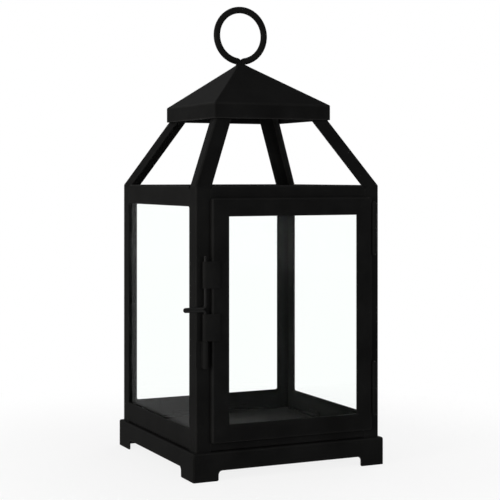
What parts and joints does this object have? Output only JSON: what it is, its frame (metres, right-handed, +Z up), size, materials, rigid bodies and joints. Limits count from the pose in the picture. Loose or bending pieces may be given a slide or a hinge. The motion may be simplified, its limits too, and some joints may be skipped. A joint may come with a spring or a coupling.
{
  "type": "candle lantern",
  "caption": "Square candle lantern in black sheet metal with clear panes, a hinged glazed door held by a sliding wire bolt, a pyramid cap on bent corner angles and a hanging ring.",
  "frame": {"origin": "centre of the base's footprint, on the surface that the lantern stands on", "axes": "+Z up; the door and its latch face -Y; the door's hinges are on the +X side"},
  "size_m": [0.1416, 0.1366, 0.303],
  "materials": {
    "black_paint": "satin black powder coat",
    "black_wire": "satin black coating, worn smooth where it slides",
    "clear_glass": "clear polished float glass"
  },
  "bodies": {
    "frame": {"base": "black_paint", "corner_angle_front_left": "black_paint", "corner_angle_front_right": "black_paint", "corner_angle_back_right": "black_paint", "corner_angle_back_left": "black_paint", "bottom_rail_front": "black_paint", "bottom_rail_right": "black_paint", "bottom_rail_back": "black_paint", "bottom_rail_left": "black_paint", "top_rail_front": "black_paint", "top_rail_right": "black_paint", "top_rail_back": "black_paint", "top_rail_left": "black_paint", "roof_cap": "black_paint", "hanging_ring": "black_paint", "pane_right": "clear_glass", "pane_back": "clear_glass", "pane_left": "clear_glass", "pane_clips_right": "black_paint", "pane_clips_back": "black_paint", "pane_clips_left": "black_paint", "latch_catch": "black_paint", "hinge_upper_post_leaf": "black_paint", "hinge_upper_pin": "black_wire", "hinge_lower_post_leaf": "black_paint", "hinge_lower_pin": "black_wire"},
    "door": {"door_stile_latch": "black_paint", "door_stile_hinge": "black_paint", "door_rail_top": "black_paint", "door_rail_bottom": "black_paint", "door_pane": "clear_glass", "door_clips": "black_paint", "latch_barrel_upper": "black_paint", "latch_barrel_lower": "black_paint", "hinge_upper_door_leaf": "black_paint", "hinge_lower_door_leaf": "black_paint"},
    "bolt": {"latch_bolt": "black_wire"}
  },
  "joints": [
    {"name": "door_swing", "type": "hinge", "parent": "frame", "child": "door", "pos_m": [0.0602, -0.06752, 0.1], "axis": [0, 0, 1], "range_deg": [0, 190]},
    {"name": "bolt_slide", "type": "slide", "parent": "door", "child": "bolt", "axis": [0, 0, 1], "range_m": [0, 0.01]}
  ]
}
